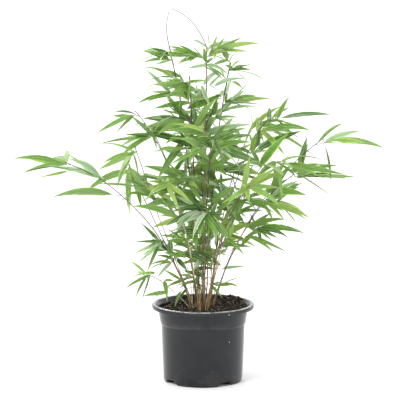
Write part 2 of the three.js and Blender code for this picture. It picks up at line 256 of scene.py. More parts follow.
pot_profile = rounded(POT_SECTION)
OUTSIDE_RINGS = int(pot_profile[:, 1].argmax())
pot_points = notched(turned(pot_profile, POT_SEGMENTS))
pot_quads, pot_ends, _, _ = wrapped(len(pot_profile) - 2, POT_SEGMENTS)
pot = piece("nursery_pot", pot_points, pot_quads, pot_ends, [pot_plastic], crease=50)
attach(pot, "root")
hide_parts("pot")


# ---- Potting soil -------------------------------------------------------------------------
# Peat-based compost that fills the pot to 11 mm below its rim: a crumbly surface with a heap
# at the back on the right, loose crumbs on it, and a few pale fibres of coir and chips of bark.

SOIL_SEGMENTS, SOIL_RINGS = 200, 70
SOIL_LEVEL, SOIL_WALL = 0.119, 0.0716
HEAP, HEAP_PLACE, HEAP_SPREAD = 0.0135, (0.047, 0.036), 0.028
# Radius and height of the half section below the surface, from the middle of the underside.
SOIL_UNDER = np.array([[0, 2.4], [46.4, 2.4], [49.5, 8.8], [60.2, 8.8], [67, 95],
                       [70.4, 108]]) * 0.001
soil_chance = np.random.default_rng(41)
waves_at = soil_chance.uniform(0, 2 * np.pi, (46, 2))
wave_lengths = np.geomspace(0.0035, 0.045, 46)
lump_places = soil_chance.uniform(-SOIL_WALL, SOIL_WALL, (1500, 2))
lump_sizes = soil_chance.uniform(0.0012, 0.0038, 1500)


def soil_height(at):
    """The height of the surface at points (x, y): a level that tilts up to the right,
    a heap e^(-d^2) about its place, sine waves of 3.5 to 45 mm that rise and fall by 1.4% of
    their length, and lumps of radius r that rise 0.55 sqrt(r^2 - d^2) about their places."""
    x, y = at.T
    away = np.hypot(x - HEAP_PLACE[0], y - HEAP_PLACE[1]) / HEAP_SPREAD
    turn, phase = waves_at.T
    along = (x[:, None] * np.cos(turn) + y[:, None] * np.sin(turn)) / wave_lengths
    rough = (np.sin(2 * np.pi * along + phase) * wave_lengths * 0.014).sum(1)
    gap = np.linalg.norm(at[:, None] - lump_places, axis=2) / lump_sizes
    lumps = (np.sqrt(np.clip(1 - gap ** 2, 0, 1)) * lump_sizes * 0.55).max(1)
    return SOIL_LEVEL + HEAP * np.exp(-away ** 2) + 0.02 * x + rough + lumps


def soil_mixture(tree):
    """Damp compost: near-black peat, browner fibre and dry grey-brown crumbs, in patches of
    about 6 mm and grains of 1 mm, rough all over."""
    place = add(tree, "TexCoord").outputs["Object"]
    patches = add(tree, "TexNoise", {"Vector": place, "Scale": 150.0, "Detail": 4.0, "Roughness": 0.65})
    grains = add(tree, "TexVoronoi", {"Vector": place, "Scale": 520.0}).outputs["Color"]
    grain = add(tree, "SeparateColor", {"Color": grains}).outputs["Green"]
    mixed = add(tree, "Math", {0: patches, 1: grain, 2: -0.12}, operation="MULTIPLY_ADD")
    mixed = add(tree, "Math", {0: patches, 1: mixed})
    ramp = add(tree, "ValToRGB", {0: mixed})
    stops = ((0.30, SOIL_DARK), (0.55, SOIL_BROWN), (0.74, SOIL_DRY), (0.93, SOIL_FIBRE))
    for spot, (where, colour) in enumerate(stops):
        stop = ramp.color_ramp.elements[spot] if spot < 2 else ramp.color_ramp.elements.new(where)
        stop.position, stop.color = where, linear(colour)
    fine = add(tree, "TexNoise", {"Vector": place, "Scale": 700.0, "Detail": 3.0})
    bump = add(tree, "Bump", {"Height": fine, "Strength": 0.8, "Distance": 0.0012})
    return {"Base Color": ramp, "Normal": bump}


def loose_grit(tree):
    """The rough broken face of a crumb or chip: bumps about 1 mm apart, and no gloss."""
    place = add(tree, "TexCoord").outputs["Object"]
    fine = add(tree, "TexNoise", {"Vector": place, "Scale": 900.0, "Detail": 3.0})
    bump = add(tree, "Bump", {"Height": fine, "Strength": 0.7, "Distance": 0.0008})
    rough = add(tree, "MapRange", {0: fine, 3: 0.8, 4: 1.0})
    return {"Normal": bump, "Roughness": rough}


# Peat, composted bark and coir: matt, dark when damp and grey-brown where it has dried.
SOIL_DARK, SOIL_BROWN, SOIL_DRY, SOIL_FIBRE = "#120f0e", "#251e19", "#4a3f34", "#7a6a56"
compost = finish("damp_peat_compost", SOIL_BROWN, soil_mixture, Roughness=0.95)
crumb_finishes = [finish(name, colour, loose_grit) for name, colour in (
    ("peat_crumb_dark", "#15110f"), ("peat_crumb_brown", "#2b221b"),
    ("peat_crumb_dry", "#665747"), ("bark_chip_pale", "#a8957a"))]

share = np.linspace(1, 0, SOIL_RINGS + 1)[:-1, None]
spread = np.concatenate([SOIL_UNDER[1:, :1], share * SOIL_WALL])
soil_section = np.concatenate([SOIL_UNDER[:1], np.hstack([spread, 0 * spread]), [[0, 0]]])
soil_section[1:len(SOIL_UNDER), 1] = SOIL_UNDER[1:, 1]
soil_points = turned(soil_section, SOIL_SEGMENTS)
surface = np.r_[(len(SOIL_UNDER) - 1) * SOIL_SEGMENTS:len(soil_points) - 2, len(soil_points) - 1]
soil_points[surface, 2] = soil_height(soil_points[surface, :2])
soil_quads, soil_ends, _, _ = wrapped(len(soil_section) - 2, SOIL_SEGMENTS)
soil = piece("potting_soil", soil_points, soil_quads, soil_ends, [compost], crease=75)
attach(soil, "root")
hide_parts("soil")

CRUMBS, FIBRES = 1900, 90
GOLDEN = (1 + 5 ** 0.5) / 2
BALL = unit(np.array([
    [-1, GOLDEN, 0], [1, GOLDEN, 0], [-1, -GOLDEN, 0], [1, -GOLDEN, 0], [0, -1, GOLDEN],
    [0, 1, GOLDEN], [0, -1, -GOLDEN], [0, 1, -GOLDEN], [GOLDEN, 0, -1], [GOLDEN, 0, 1],
    [-GOLDEN, 0, -1], [-GOLDEN, 0, 1]]))
BALL_FACES = np.array([
    [0, 11, 5], [0, 5, 1], [0, 1, 7], [0, 7, 10], [0, 10, 11], [1, 5, 9], [5, 11, 4],
    [11, 10, 2], [10, 7, 6], [7, 1, 8], [3, 9, 4], [3, 4, 2], [3, 2, 6], [3, 6, 8],
    [3, 8, 9], [4, 9, 5], [2, 4, 11], [6, 2, 10], [8, 6, 7], [9, 8, 1]])


def crumbs(count, least, most, long=1.0):
    """Lumps of 20 faces: a ball whose 12 points stand in by up to a third or out by up to a
    fifth, stretched or squeezed by up to a half along each axis, and long times in its own
    direction. It is set into the soil by a third."""
    around = soil_chance.uniform(0, 2 * np.pi, count)
    out = (SOIL_WALL - 0.002) * np.sqrt(soil_chance.uniform(0.02, 1, count))
    at = np.stack([out * np.cos(around), out * np.sin(around)], -1)
    size = least + (most - least) * soil_chance.uniform(0, 1, count) ** 3
    stretch = soil_chance.uniform(0.5, 1.5, (count, 1, 3))
    rough = soil_chance.uniform(0.67, 1.2, (count, 12, 1))
    points = BALL * rough * stretch * [long, 1, 1] * size[:, None, None]
    turn = soil_chance.uniform(0, np.pi, (count, 1))
    x, y = points[:, :, 0].copy(), points[:, :, 1].copy()
    points[:, :, 0] = x * np.cos(turn) - y * np.sin(turn) + at[:, :1]
    points[:, :, 1] = x * np.sin(turn) + y * np.cos(turn) + at[:, 1:]
    points[:, :, 2] += (soil_height(at) + 0.35 * size)[:, None]
    return points.reshape(-1, 3)


crumb_points = np.concatenate([crumbs(CRUMBS, 0.0005, 0.0024),
                               crumbs(FIBRES, 0.00022, 0.0004, long=16)])
crumb_faces = (BALL_FACES + 12 * np.arange(CRUMBS + FIBRES)[:, None, None]).reshape(-1, 3)
crumb_pick = np.repeat(np.r_[soil_chance.choice(4, CRUMBS, p=[0.4, 0.41, 0.16, 0.03]),
                             soil_chance.choice([2, 3], FIBRES)], 20)
loose = piece("soil_crumbs", crumb_points, np.zeros((0, 4), int), crumb_faces, crumb_finishes,
              pick=crumb_pick, crease=30)
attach(loose, "root")


# ---- Culms --------------------------------------------------------------------------------
# The canes of the clump: thin green, tan and purple-brown bamboo, hollow between solid nodes,
# each with a raised ring and a slight kink at every node and papery sheaths on its lower
# joints. They grow on the frame's middle lines, drawn together towards their feet, with short
# young ones between them.

CANE_SIDES, CANE_STEP = 10, 0.0024
NODE_SPACING = (0.034, 0.052)  # length between nodes, near the foot and further up
NODE_SWELL, NODE_REACH = 0.26, 0.0020
SHEATH_THICKNESS = 0.00014
KINK = 0.0011  # how far a cane steps aside at each node
CANE_FOOT = 0.011  # how far a cane starts below the soil's level
GATHER = 0.32  # how much nearer the clump's middle a cane rises than its line of the frame
SLIM = 0.8  # a cane's radius at its foot, of that in the frame
TALL, TALL_TIP, LOW_TIP = 0.5, 0.001, 0.0007  # tip radii of canes that end above TALL, or below
YOUNG, YOUNG_LEAN = 22, 0.6  # short canes, and how far they lean out, of what a culm does
MAP_LENGTH = 0.62  # metres of cane along the bake map's width
cane_chance = np.random.default_rng(7)


def cad_mesh(name):
    """The points of a node of the frame, each once, and its triangles."""
    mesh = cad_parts[name].data
    mesh.calc_loop_triangles()
    points = np.empty((len(mesh.vertices), 3), np.float32)
    mesh.vertices.foreach_get("co", points.ravel())
    corners = np.empty((len(mesh.loop_triangles), 3), np.int32)
    mesh.loop_triangles.foreach_get("vertices", corners.ravel())
    once, index = np.unique(np.round(points.astype(float), 6), axis=0, return_inverse=True)
    return once, index.reshape(-1)[corners]


def ring_centres(name, start=None):
    """The middle of each ring of points along a limb, and the limb's radius at its foot and
    tip. From the ring around the start, each next ring is the set of points that share a
    triangle with the one before."""
    points, triangles = cad_mesh(name)
    start = points[points[:, 2].argmin()] if start is None else start
    start = points[np.linalg.norm(points - start, axis=1).argmin()]
    reached = np.linalg.norm(points - start, axis=1) < 0.005
    centres, radii, ring = [], [], reached
    while ring.any():
        centres.append(points[ring].mean(0))
        radii.append(np.linalg.norm(points[ring] - centres[-1], axis=1).max())
        touched = triangles[reached[triangles].any(1)]
        grown = reached.copy()
        grown[touched.ravel()] = True
        ring, reached = grown & ~reached, grown
    radii = np.array(radii)
    solid = radii > 1e-4
    return np.array(centres)[solid], (radii[0], radii[solid][-1])


def along(points, count):
    """A smooth line of count evenly spaced points: each coordinate is a polynomial of the
    fourth degree in the share of the length, fitted to the given points."""
    run = np.r_[0, np.cumsum(np.linalg.norm(np.diff(points, axis=0), axis=1))]
    fits = np.polyfit(run / run[-1], points, min(4, len(points) - 1))
    share = np.linspace(0, 1, count)[:, None]
    return sum(fit * share ** power for power, fit in enumerate(fits[::-1]))


def tube(path, radius, sides):
    """The points of a round tube about a line: at each point the ring turns through the
    directions A and B, square to the line, as A cos a + B sin a."""
    forward = unit(np.gradient(path, axis=-2))
    mean = unit(forward.mean(-2, keepdims=True))
    least = np.eye(3)[np.abs(mean).argmin(-1)]
    across = unit(least - (least * forward).sum(-1, keepdims=True) * forward)
    other = np.cross(forward, across)
    a = np.linspace(0, 2 * np.pi, sides, endpoint=False)[:, None]
    ring = across[..., None, :] * np.cos(a) + other[..., None, :] * np.sin(a)
    return path[..., None, :] + ring * radius[..., None, None]


def closed(rings):
    """Ring points as one list, followed by the middle of the first and of the last ring."""
    ends = np.stack([rings[0].mean(0), rings[-1].mean(0)])
    return np.concatenate([rings.reshape(-1, 3), ends])


def cane(path, foot_radius, tip_radius):
    """A jointed cane. Its radius falls from foot to tip with the share of its length to the
    power 0.8, times 1 + NODE_SWELL e^(-d^2) at d times NODE_REACH from a node, plus the
    sheath's thickness where one wraps it.
    Its line steps aside by KINK, now left and now right, from node to node. Returns the
    rings, and for each ring its length from the foot, its place in its joint from 0 to 1,
    and how much it is sheathed."""
    run = np.r_[0, np.cumsum(np.linalg.norm(np.diff(path, axis=0), axis=1))]
    share = run / run[-1]
    first, later = NODE_SPACING
    joint = run / (first + (later - first) * share) + cane_chance.uniform(0, 1)
    number, within = np.floor(joint).astype(int), joint % 1
    spacing = first + (later - first) * share
    gap = np.minimum(within, 1 - within) * spacing / NODE_REACH
    radius = foot_radius + (tip_radius - foot_radius) * share ** 0.8
    swell = 1 + NODE_SWELL * np.exp(-gap ** 2)
    reach = cane_chance.uniform(0.35, 0.95, number.max() + 2)[number]
    wears = cane_chance.uniform(0, 1, number.max() + 2)[number] < 0.9 - 1.2 * share
    sheath = wears * eased(reach, reach - 0.06, within) * eased(0.0, 0.04, within)
    side = unit(np.cross(path[-1] - path[0], [0.3, 1, 0.2]))
    step = np.where(number % 2 == 0, within, 1 - within) - 0.5
    path = path + side * (step * KINK * eased(0, 0.1, share) * eased(1.0, 0.9, share))[:, None]
    rings = tube(path, radius * swell + SHEATH_THICKNESS * sheath, CANE_SIDES)
    return rings, run, within, sheath


def bamboo_cane(tree):
    """Skin of a thin cane: lengthwise streaks of green, tan and purple-brown, paler with wax
    just under each node and dark on its ring, and straw-coloured sheaths with fine ribs."""
    lengthwise = add(tree, "UVMap", uv_map="cane").outputs["UV"]
    hue = add(tree, "Attribute", attribute_name="hue").outputs["Fac"]
    within = add(tree, "Attribute", attribute_name="within").outputs["Fac"]
    sheath = add(tree, "Attribute", attribute_name="sheath").outputs["Fac"]
    place = add(tree, "TexCoord").outputs["Object"]
    blotch = add(tree, "TexNoise", {"Vector": place, "Scale": 85.0, "Detail": 3.0})
    mixed = add(tree, "Math", {0: blotch, 1: 0.55, 2: -0.27}, operation="MULTIPLY_ADD")
    mixed = add(tree, "Math", {0: mixed, 1: hue})
    skin = add(tree, "ValToRGB", {0: mixed})
    for spot, (where, colour) in enumerate(CANE_SKIN):
        stop = skin.color_ramp.elements[spot] if spot < 2 else skin.color_ramp.elements.new(where)
        stop.position, stop.color = where, linear(colour)
    ring = add(tree, "MapRange", {0: within, 1: 0.05, 2: 0.0})
    ringed = add(tree, "Mix", {0: ring, 6: skin, 7: linear(CANE_RING)},
                 data_type="RGBA").outputs[2]
    waxy = add(tree, "MapRange", {0: within, 1: 0.86, 2: 0.98, 4: 0.7})
    waxed = add(tree, "Mix", {0: waxy, 6: ringed, 7: linear(CANE_WAX)},
                data_type="RGBA").outputs[2]
    paper = add(tree, "Mix", {0: blotch, 6: linear(SHEATH_BROWN), 7: linear(SHEATH_STRAW)},
                data_type="RGBA").outputs[2]
    colour = add(tree, "Mix", {0: sheath, 6: waxed, 7: paper}, data_type="RGBA").outputs[2]
    ribs = add(tree, "Mapping", {"Vector": lengthwise, "Scale": (60.0, 2200.0, 1.0)})
    ribs = add(tree, "TexNoise", {"Vector": ribs, "Scale": 1.0, "Detail": 2.0})
    bump = add(tree, "Bump", {"Height": ribs, "Strength": 0.5, "Distance": 0.0003})
    rough = add(tree, "MapRange", {0: sheath, 3: 0.42, 4: 0.8})
    return {"Base Color": colour, "Normal": bump, "Roughness": rough}


# Live bamboo: a hard, silica-rich skin with a satin sheen; dry sheaths are matt and papery.
CANE_SKIN = ((0.02, "#6f7c38"), (0.2, "#a8a565"), (0.38, "#d2c6a4"), (0.55, "#a67a50"),
             (0.75, "#6b4a45"), (0.95, "#443238"))
CANE_RING, CANE_WAX = "#5a4330", "#b9b08e"
SHEATH_STRAW, SHEATH_BROWN = "#b99f6d", "#54402f"
cane_skin = finish("bamboo_cane_skin", "#8d5f3c", bamboo_cane, Roughness=0.5)

culm_names = sorted(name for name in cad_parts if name.startswith("culm_"))
culm_lines, culm_radii = {}, {}
for name in culm_names:
    centres, culm_radii[name] = ring_centres(name)
    line = along(centres, 200)
    line -= (line[0] * [1, 1, 0]) * (GATHER * (1 - np.linspace(0, 1, 200)) ** 2.5)[:, None]
    culm_lines[name] = line

# Short young canes between the others: a share of a culm's own line, turned about its foot.
canes = [(culm_lines[name], culm_radii[name][0] * SLIM,
          TALL_TIP if culm_lines[name][-1, 2] > TALL else LOW_TIP) for name in culm_names]
for i in range(YOUNG):
    line = culm_lines[culm_names[(i * 7) % len(culm_names)]]
    turn, shrink = cane_chance.uniform(0.4, 5.9), cane_chance.uniform(0.25, 0.62)
    spin = np.array([[np.cos(turn), -np.sin(turn), 0], [np.sin(turn), np.cos(turn), 0], [0, 0, 1]])
    foot = np.array([*cane_chance.uniform(-0.017, 0.017, 2), line[0, 2]])
    young = foot + (line - line[0]) @ spin.T * [YOUNG_LEAN * shrink, YOUNG_LEAN * shrink, shrink]
    canes.append((young, cane_chance.uniform(0.0006, 0.001), 0.0004))

skins, offset = {"points": [], "quads": [], "ends": [], "hue": [], "within": [], "sheath": []}, 0
cane_maps = {"cane": ([], []), "OFBake": ([], [])}
for i, (line, foot_radius, tip_radius) in enumerate(canes):
    down = line[0] - [0, 0, CANE_FOOT]
    length = np.linalg.norm(np.diff(line, axis=0), axis=1).sum() + CANE_FOOT
    path = along(np.concatenate([[down], line[::8], line[-1:]]), int(length / CANE_STEP))
    rings, run, within, sheath = cane(path, foot_radius, tip_radius)
    quads, ends, quad_at, end_at = wrapped(len(rings), CANE_SIDES)
    skins["points"].append(closed(rings))
    skins["quads"].append(quads + offset)
    skins["ends"].append(ends + offset)
    hue = np.clip(cane_chance.uniform(0.05, 0.95) + 0.5 * run / run[-1], 0, 0.95)
    for label, numbers in (("hue", hue), ("within", within), ("sheath", sheath)):
        skins[label].append(np.r_[np.repeat(numbers, CANE_SIDES), numbers[0], numbers[-1]])
    offset += len(skins["points"][-1])
    for corner, at in enumerate((quad_at, end_at)):
        lengths, turns = run[at[..., 0].astype(int)], at[..., 1] / CANE_SIDES
        cane_maps["cane"][corner].append(np.stack([lengths, turns * 2 * np.pi * 0.0016], -1))
        strip = (i + 0.1 + 0.8 * turns) / len(canes)
        lengths = 0.01 + 0.98 * lengths / MAP_LENGTH
        cane_maps["OFBake"][corner].append(np.stack([lengths, strip], -1))
skins = {label: np.concatenate(blocks) for label, blocks in skins.items()}
cane_maps = {label: [np.concatenate(part) for part in parts]
             for label, parts in cane_maps.items()}
culms = piece("bamboo_culms", skins["points"], skins["quads"], skins["ends"], [cane_skin],
              crease=60, maps=cane_maps,
              values={label: skins[label] for label in ("hue", "within", "sheath")})
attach(culms, "root")
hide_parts(*culm_names)


# ---- Leaf sprays: how they grow -----------------------------------------------------------
# Each mass of the frame is one spray: a wiry shoot that leaves its culm, side shoots to left
# and right of it, and a fan of long leaves at the end of each. A leaf grows until it reaches
# the edge of its mass, so that the sprays keep the crown's outline and its gaps. Smaller fans
# grow from the culms' own nodes in between.

spray_chance = np.random.default_rng(37)
LEAF_SHARE = 0.085  # of its own length squared, the spray that each leaf takes up
FAN = 3.3  # leaves in a fan, on average
# Leaves in the sparse sprays at the crown's edge, where each one shows.
SPARSE = {"far_left_1": 6, "far_left_2": 3, "far_right_1": 7, "low_left_1": 8,
          "right_low_1": 6, "right_mid_1": 7, "lower_left_1": 6, "left_low_mid_1": 6,
          "left_mid_1": 6}
NODE_FAN_GAP = 0.027  # along a culm, from one fan of its own to the next
LOW_NODES, HIGH_NODES = 0.2, 0.4  # heights below and above which these fans differ
SHOOT_SAG, SHOOT_RADII = 0.12, (0.0005, 0.0003)


def longest_leaf(height):
    """The longest leaves are half way up, 115 mm, and fall to just over half of that low and
    high: 0.115 (0.55 + 0.45 e^(-d^2)), d being the height from 0.36 m in steps of 0.12 m."""
    return 0.115 * (0.55 + 0.45 * math.exp(-((height - 0.36) / 0.12) ** 2))


def spray_line(points, triangles, root, count=24):
    """The middle line of a mass from its root: root + a t + b t^2, fitted to the middles of
    seven slices of its surface that lie further and further from the root."""
    sides = points[triangles]
    middles = sides.mean(1)
    area = np.linalg.norm(np.cross(sides[:, 1] - sides[:, 0], sides[:, 2] - sides[:, 0]), axis=1)
    far = np.linalg.norm(middles - root, axis=1)
    reach = np.linalg.norm(points - root, axis=1).max()
    slices = np.minimum((far / reach * 7).astype(int), 6)
    found = [(slices == number) for number in np.unique(slices)]
    shares = np.array([np.average(far[cut], weights=area[cut]) for cut in found])[:, None] / reach
    places = np.array([np.average(middles[cut], axis=0, weights=area[cut]) for cut in found])
    fit = np.linalg.lstsq(np.hstack([shares, shares ** 2]), places - root, rcond=None)[0]
    t = np.linspace(0, 1, count)[:, None]
    return root + t * fit[0] + t ** 2 * fit[1]


def room_ahead(tree, start, heading):
    """How far it is from a point to the last face of a mass along a heading, or 0."""
    far, at, heading = 0.0, Vector(start), Vector(heading)
    for _ in range(6):
        hit = tree.ray_cast(at, heading)[0]
        if hit is None:
            break
        far, at = (hit - Vector(start)).length, hit + heading * 1e-4
    return far


def headed(forward, turn, lift):
    """A heading turned by turn radians to the left of forward and raised by lift radians."""
    forward = unit(forward)
    aside = unit(np.cross([0, 0, 1], forward))
    upward = np.cross(forward, aside)
    level = forward * math.cos(turn) + aside * math.sin(turn)
    return level * math.cos(lift) + upward * math.sin(lift)


shoots, leaves = [], []


def fan(end, forward, count, mass, tree=None, goal=None, size=1.0, least=0.5, spread=0.48):
    """A fan of leaves at a shoot's end: one straight on, the others by turns to left and
    right, each pair spread radians further round and a few millimetres further back. In a
    mass a leaf reaches its edge, with at least least of the longest length at its height,
    and the first one its goal. Elsewhere a leaf has 0.55 to 1 of that length, times size."""
    side = spray_chance.choice([-1, 1])
    longest = longest_leaf(end[2]) * size
    for k in range(count):
        step = (k + 1) // 2
        turn = side * (-1) ** k * (spread * step + spray_chance.normal(0, 0.18) * (step > 0))
        lift = min(spray_chance.normal(0.0, 0.38), 0.25 if end[2] > TALL else 0.8)
        heading = headed(forward, turn, lift)
        start = end - unit(forward) * 0.005 * k * spray_chance.uniform(0.5, 1.4)
        length = longest * spray_chance.uniform(0.55, 1.0)
        if goal is not None and k == 0:
            heading, length = unit(goal - start), np.linalg.norm(goal - start)
        elif tree is not None:
            room = room_ahead(tree, start, heading) or 0.05
            length = np.clip(room * spray_chance.uniform(0.95, 1.2), least * longest, longest)
        leaves.append((start, heading, length, mass))


def shoot(start, forward, length):
    """A shoot that leaves start along forward and sags by SHOOT_SAG of its length, as t^2.
    Returns its end, and the way that it points there."""
    t = np.linspace(0, 1, 7)[:, None]
    path = start + unit(forward) * length * t + [0, 0, -1] * (t ** 2 * length * SHOOT_SAG)
    shoots.append((path, *SHOOT_RADII))
    return path[-1], path[-1] - path[-2]


masses = sorted(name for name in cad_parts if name.startswith("leaves_"))
for number, name in enumerate(masses):
    points, triangles = cad_mesh(name)
    tree = BVHTree.FromPolygons(points.tolist(), triangles.tolist())
    line = culm_lines["culm_" + name[len("leaves_"):-2]]
    gaps = np.linalg.norm(line[:, None] - points, axis=2).min(1)
    # The spray leaves its culm amid the stretch nearest to it, or, if it is the culm's first
    # and that stretch runs to the tip, just below the tip.
    near = np.flatnonzero(gaps < gaps.min() + 0.002)
    root = line[-8] if name.endswith("_1") and near[-1] > 150 else line[near[len(near) // 2]]
    middle = spray_line(points, triangles, root)
    reach = np.linalg.norm(middle[-1] - root)
    aside = unit(np.cross([0, 0, 1], middle[-1] - root))
    longest = longest_leaf(middle[-1, 2])
    room = reach * np.ptp(points @ aside)
    sparse = SPARSE.get(name[len("leaves_"):])
    count = sparse or round(room / (longest ** 2 * LEAF_SHARE))
    habit = {"least": 0.68, "spread": 0.34} if sparse else {}
    fans = max(1, round(count / FAN))
    # The main shoot ends about a leaf's length short of the mass's far end.
    ahead = np.linalg.norm(middle[-1] - middle, axis=1)
    last = max(min(3 + fans, 10), int((ahead > longest * 0.97).sum()))
    main = np.concatenate([[root], middle[1:last + 1]])
    shoots.append((main, 0.0006, 0.0004))
    shared = np.bincount(np.arange(count) % fans, minlength=fans)
    fan(main[-1], main[-1] - main[-2], shared[0], number, tree, middle[-1], **habit)
    for k in range(1, fans):
        where = 1 + (k * (last - 1)) // fans
        turn = (1 if (k + number) % 2 else -1) * spray_chance.uniform(0.6, 1.5)
        going = headed(main[where + 1] - main[where], turn, spray_chance.uniform(-0.2, 0.6))
        length = np.clip(0.35 * room_ahead(tree, main[where], going), 0.008, 0.03)
        end, forward = shoot(main[where], going, length)
        fan(end, forward, shared[k], number, tree, **habit)

for culm_number, name in enumerate(culm_names):
    line = culm_lines[name]
    run = np.r_[0, np.cumsum(np.linalg.norm(np.diff(line, axis=0), axis=1))]
    places = np.arange(0.045, run[-1] - 0.01, NODE_FAN_GAP) + spray_chance.uniform(-0.01, 0.01)
    for k, far in enumerate(places):
        at = line[min(np.searchsorted(run, far), 198)]
        low, high = at[2] < LOW_NODES, at[2] > HIGH_NODES
        chance = (1.6 if high else 1.0) - 5.5 * np.hypot(*at[:2])  # fewer further out
        if spray_chance.uniform() > (0.4 if low else np.clip(chance, 0.15, 1)):
            continue
        around = spray_chance.uniform(0, 2 * np.pi)
        out = unit(np.array([np.cos(around), np.sin(around), 0]) + at * [4, 4, 0])
        going = headed(out, 0, spray_chance.uniform(-0.3, 0.3) if low else
                       spray_chance.uniform(0.0, 1.0))
        end, forward = shoot(at, going, spray_chance.uniform(0.008, 0.03))
        number = int(spray_chance.integers(1, 4) if low else
                     spray_chance.integers(3, 7) if high else spray_chance.integers(2, 5))
        fan(end, forward * [1, 1, 0.6], number, len(masses) + culm_number,
            size=0.7 if low else 0.85)


# ---- Twigs --------------------------------------------------------------------------------
# The wiry purple-grey shoots that carry the leaves, and the two bare ones that run on from
# the tallest culms and meet over the crown.

TWIG_SIDES, TWIG_RINGS = 5, 12
ARCH_THICK, ARCH_THIN = 1.5, 1.4  # the bare twigs' radii at foot and tip, of the frame's


def wiry_bark(tree):
    """Smooth skin of a thin shoot: faint lengthwise grain and a soft, uneven sheen."""
    place = add(tree, "TexCoord").outputs["Object"]
    grain = add(tree, "TexNoise", {"Vector": place, "Scale": 600.0, "Detail": 2.0})
    rough = add(tree, "MapRange", {0: grain, 3: 0.4, 4: 0.75})
    bump = add(tree, "Bump", {"Height": grain, "Strength": 0.4, "Distance": 0.0002})
    return {"Roughness": rough, "Normal": bump}


# Young bamboo shoots: thin, hard and slightly waxy, purple-grey in the sun, green in shade.
twig_finishes = [finish("shoot_purple_grey", "#76666e", wiry_bark),
                 finish("shoot_green", "#7d8a4c", wiry_bark),
                 finish("shoot_brown", "#6f5444", wiry_bark)]

arch_names = sorted(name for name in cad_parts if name.startswith("twig_"))
tips = np.array([culm_lines[name][-1] for name in culm_names])
for name in arch_names:
    points, _ = cad_mesh(name)
    apart = np.linalg.norm(points[:, None] - tips, axis=2)
    centres, (thick, thin) = ring_centres(name, points[apart.min(1).argmin()])
    arch = np.concatenate([tips[[apart.min(0).argmin()]], centres])
    shoots.append((arch, ARCH_THICK * thick, ARCH_THIN * thin))

twig_chance = np.random.default_rng(3)
paths = np.array([along(path, TWIG_RINGS) for path, _, _ in shoots])
thickness = np.array([[thick, thin] for _, thick, thin in shoots])
share = np.linspace(0, 1, TWIG_RINGS)
twig_radius = thickness[:, :1] + (thickness[:, 1:] - thickness[:, :1]) * share
rings = tube(paths, twig_radius, TWIG_SIDES)
caps = np.stack([rings[:, 0].mean(1), rings[:, -1].mean(1)], 1)
twig_points = np.concatenate([rings.reshape(len(rings), -1, 3), caps], 1)
quads, ends, _, _ = wrapped(TWIG_RINGS, TWIG_SIDES)
steps = (np.arange(len(rings)) * twig_points.shape[1])[:, None, None]
hues = twig_chance.choice(3, len(rings), p=[0.55, 0.25, 0.2])
hues[-len(arch_names):] = 0  # both bare twigs are purple-grey
twigs = piece("leaf_twigs", twig_points.reshape(-1, 3), (quads + steps).reshape(-1, 4),
              (ends + steps).reshape(-1, 3), twig_finishes,
              pick=np.r_[np.repeat(hues, len(quads)), np.repeat(hues, len(ends))], crease=80)
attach(twigs, "root")
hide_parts(*arch_names)


# ---- Leaves -------------------------------------------------------------------------------
# Narrow bamboo leaves, long-pointed, on a short stalk: a thin blade folded a little along its
# pale midrib, that arches under its own weight and turns its upper face to the light.

STATIONS = np.array([0, 0.035, 0.09, 0.19, 0.32, 0.47, 0.62, 0.76, 0.88, 0.96])
LEAF_SIDES = 7  # edge, blade, rib, rib, blade, edge, and the middle of the underside
LIGHT = np.array([-0.15, -0.7, 0.7])  # where the leaves turn their upper faces
leaf_chance = np.random.default_rng(17)


def leaf_skins(start, heading, normal, length, width, bend, twist, fold):
    """The rings and end points of many leaves. The midrib is a circular arc of the leaf's
    length, which turns from its heading towards the ground by bend radians. At share s of
    its length past the stalk, half the blade's width is width / 2 * s^0.6 (1 - s)^1.15 over
    that curve's own highest value, at s = 0.343, plus the stalk. Across it the blade rises
    from the rib by fold times the distance. The rings twist evenly about the midrib."""
    t = STATIONS[None, :, None]
    down = np.array([0, 0, -1.0]) - heading * -heading[:, 2:]
    limp = np.linalg.norm(down, axis=1, keepdims=True)
    down = unit(down)[:, None]
    heading, normal = heading[:, None], normal[:, None]
    bend = (bend[:, None] * limp)[:, :, None] + 1e-4
    angle = bend * t
    arc = length[:, None, None] / bend
    path = start[:, None] + arc * (heading * np.sin(angle) + down * (1 - np.cos(angle)))
    forward = heading * np.cos(angle) + down * np.sin(angle)
    hinge = np.cross(heading, down)
    upward = ((normal * down).sum(-1, keepdims=True)
              * (down * np.cos(angle) - heading * np.sin(angle))
              + (normal * hinge).sum(-1, keepdims=True) * hinge)
    turn = twist[:, None, None] * t
    upward = unit(upward * np.cos(turn) + np.cross(forward, upward) * np.sin(turn))
    aside = np.cross(forward, upward)
    s = np.clip((STATIONS - 0.03) / 0.97, 0, 1)
    outline = s ** 0.6 * (1 - s) ** 1.15
    outline = outline / (0.343 ** 0.6 * 0.657 ** 1.15)
    half = width[:, None] / 2 * outline + 0.0005 * (1 - STATIONS)
    rib = np.minimum(0.00045, half * 0.4)
    across = np.stack([-half, -half * 0.55, -rib, rib, half * 0.55, half, 0 * half], -1)
    lift = np.abs(across) * fold[:, None, None]
    lift[..., [1, 4]] += 0.00018
    lift[..., 6] = -0.00042
    rings = (path[:, :, None] + aside[:, :, None] * across[..., None]
             + upward[:, :, None] * lift[..., None])
    tip = start + (arc * (heading * np.sin(bend) + down * (1 - np.cos(bend))))[:, 0]
    stalk = path[:, 0] - forward[:, 0] * 0.001
    return rings, np.stack([stalk, tip], 1)


